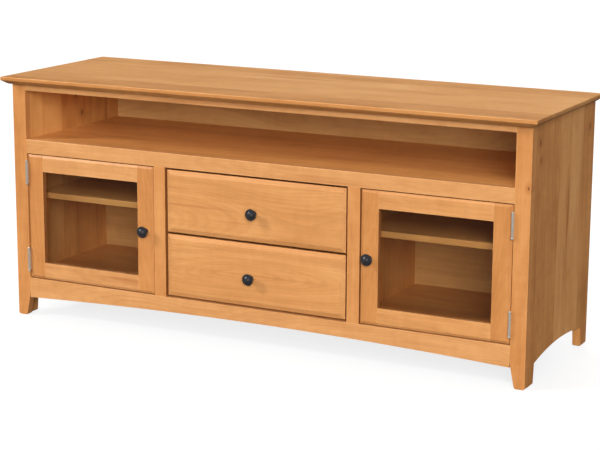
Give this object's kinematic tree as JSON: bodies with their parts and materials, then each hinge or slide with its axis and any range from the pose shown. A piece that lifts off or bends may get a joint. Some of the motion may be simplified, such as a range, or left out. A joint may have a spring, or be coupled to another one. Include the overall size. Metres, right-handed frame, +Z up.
{
  "type": "console television cabinet",
  "caption": "Low solid-wood television console on arched feet, with an open media bay over glass doors either side of stacked drawers.",
  "frame": {"origin": "on the floor under the centre of the overall bounding box", "axes": "+X to the right as seen from the front, -Y out of the front, +Z up"},
  "size_m": [1.39, 0.454, 0.606],
  "materials": {
    "top_wood": "honey-stained solid hardwood, satin lacquer, grain along the length",
    "side_wood": "edge-glued solid hardwood boards with knots, vertical grain, satin lacquer",
    "frame_wood": "solid hardwood, satin lacquer",
    "drawer_front_wood": "solid hardwood with cathedral grain, satin lacquer",
    "ply_wood": "veneered plywood, satin lacquer",
    "drawer_box_wood": "pale hardwood, clear lacquer",
    "door_glass": "clear flat glass",
    "knob_bronze": "oil-rubbed dark bronze, semi-gloss",
    "hinge_nickel": "satin nickel plate",
    "bright_steel": "zinc-plated rolled steel"
  },
  "bodies": {
    "case": {"top_panel": "top_wood", "left_side_panel": "side_wood", "right_side_panel": "side_wood", "left_side_liner": "ply_wood", "right_side_liner": "ply_wood", "left_front_stile": "frame_wood", "right_front_stile": "frame_wood", "top_rail": "frame_wood", "middle_rail": "frame_wood", "bottom_rail": "frame_wood", "left_mullion": "frame_wood", "right_mullion": "frame_wood", "media_shelf": "ply_wood", "left_partition": "ply_wood", "right_partition": "ply_wood", "bottom_deck": "ply_wood", "media_back_panel": "ply_wood", "lower_back_panel": "ply_wood", "left_adjustable_shelf": "frame_wood", "right_adjustable_shelf": "frame_wood", "shelf_pins": "bright_steel", "deck_cleats": "ply_wood", "left_case_hinge_leaves": "hinge_nickel", "right_case_hinge_leaves": "hinge_nickel", "hinge_pins": "hinge_nickel", "lower_slide_case_members": "bright_steel", "upper_slide_case_members": "bright_steel"},
    "left_door": {"left_door_hinge_stile": "frame_wood", "left_door_latch_stile": "frame_wood", "left_door_top_rail": "frame_wood", "left_door_bottom_rail": "frame_wood", "left_door_glass": "door_glass", "left_door_glass_stops": "frame_wood", "left_door_knob": "knob_bronze", "left_door_hinge_leaves": "hinge_nickel"},
    "right_door": {"right_door_hinge_stile": "frame_wood", "right_door_latch_stile": "frame_wood", "right_door_top_rail": "frame_wood", "right_door_bottom_rail": "frame_wood", "right_door_glass": "door_glass", "right_door_glass_stops": "frame_wood", "right_door_knob": "knob_bronze", "right_door_hinge_leaves": "hinge_nickel"},
    "lower_drawer": {"lower_drawer_front": "drawer_front_wood", "lower_drawer_left_side": "drawer_box_wood", "lower_drawer_right_side": "drawer_box_wood", "lower_drawer_back": "drawer_box_wood", "lower_drawer_bottom": "drawer_box_wood", "lower_drawer_knob": "knob_bronze", "lower_drawer_slide_members": "bright_steel"},
    "upper_drawer": {"upper_drawer_front": "drawer_front_wood", "upper_drawer_left_side": "drawer_box_wood", "upper_drawer_right_side": "drawer_box_wood", "upper_drawer_back": "drawer_box_wood", "upper_drawer_bottom": "drawer_box_wood", "upper_drawer_knob": "knob_bronze", "upper_drawer_slide_members": "bright_steel"},
    "lower_slide_middle": {"lower_slide_middle_members": "bright_steel"},
    "upper_slide_middle": {"upper_slide_middle_members": "bright_steel"}
  },
  "joints": [
    {"name": "left_door_hinge", "type": "hinge", "parent": "case", "child": "left_door", "pos_m": [-0.63875, -0.2044, 0.257], "axis": [0, 0, -1], "range_deg": [0, 165]},
    {"name": "right_door_hinge", "type": "hinge", "parent": "case", "child": "right_door", "pos_m": [0.63875, -0.2044, 0.257], "axis": [0, 0, 1], "range_deg": [0, 165]},
    {"name": "lower_drawer_slide", "type": "slide", "parent": "case", "child": "lower_drawer", "axis": [0, -1, 0], "range_m": [0, 0.3]},
    {"name": "upper_drawer_slide", "type": "slide", "parent": "case", "child": "upper_drawer", "axis": [0, -1, 0], "range_m": [0, 0.3]},
    {"name": "lower_slide_middle_travel", "type": "slide", "parent": "case", "child": "lower_slide_middle", "axis": [0, -1, 0], "range_m": [0, 0.15]},
    {"name": "upper_slide_middle_travel", "type": "slide", "parent": "case", "child": "upper_slide_middle", "axis": [0, -1, 0], "range_m": [0, 0.15]}
  ],
  "couplings": [
    {"joint": "lower_slide_middle_travel", "follows": "lower_drawer_slide", "ratio": 0.5},
    {"joint": "upper_slide_middle_travel", "follows": "upper_drawer_slide", "ratio": 0.5}
  ]
}
